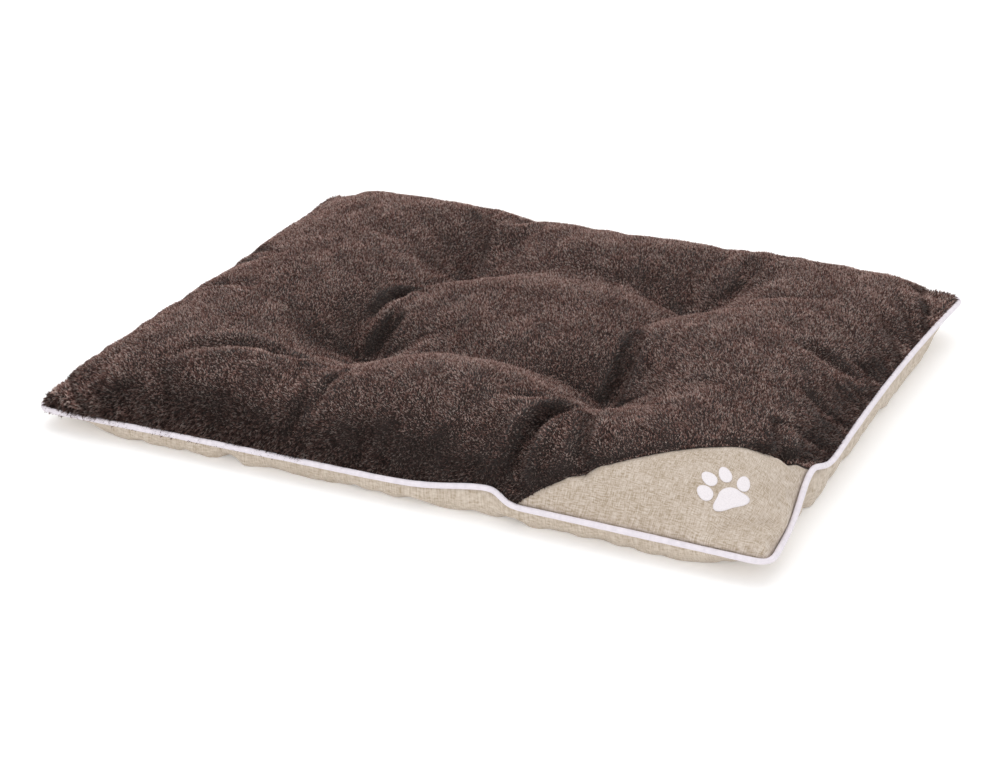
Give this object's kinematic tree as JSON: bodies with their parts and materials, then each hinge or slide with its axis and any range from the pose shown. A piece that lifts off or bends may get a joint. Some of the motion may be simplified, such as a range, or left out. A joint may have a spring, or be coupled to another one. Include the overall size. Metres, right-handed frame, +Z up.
{
  "type": "pet cushion bed",
  "caption": "Rectangular stuffed floor cushion for a pet, with a tufted plush top, a linen corner panel with a paw motif, a linen base and a piped edge.",
  "frame": {"origin": "on the floor under the middle of the cushion", "axes": "+X along the long side, +Y from the front edge to the back edge, +Z up; the corner panel is at +X -Y"},
  "size_m": [0.762, 0.6126, 0.0936],
  "materials": {
    "plush": "short brown melange plush pile",
    "linen": "beige linen-look slub weave, matt",
    "base_linen": "beige linen-look slub weave, matt",
    "piping_tape": "plain woven bias tape, matt white",
    "white_fibre": "braided white cord",
    "filling": "loose white polyester fibre",
    "twine": "dark brown waxed twine",
    "thread": "beige polyester sewing thread",
    "paw_film": "thin heat-pressed white film, satin"
  },
  "bodies": {
    "root": {"plush_top_panel": "plush", "corner_panel": "linen", "base_panel": "base_linen", "piping_cover": "piping_tape", "piping_cord": "white_fibre", "fibre_filling": "filling", "tuft_tie_front_left": "twine", "tuft_tie_front_right": "twine", "tuft_tie_back_left": "twine", "tuft_tie_back_right": "twine", "perimeter_seam_thread": "thread", "corner_seam_thread": "thread", "closing_seam_thread": "thread", "paw_main_pad": "paw_film", "paw_toe_1": "paw_film", "paw_toe_2": "paw_film", "paw_toe_3": "paw_film", "paw_toe_4": "paw_film"}
  },
  "joints": []
}
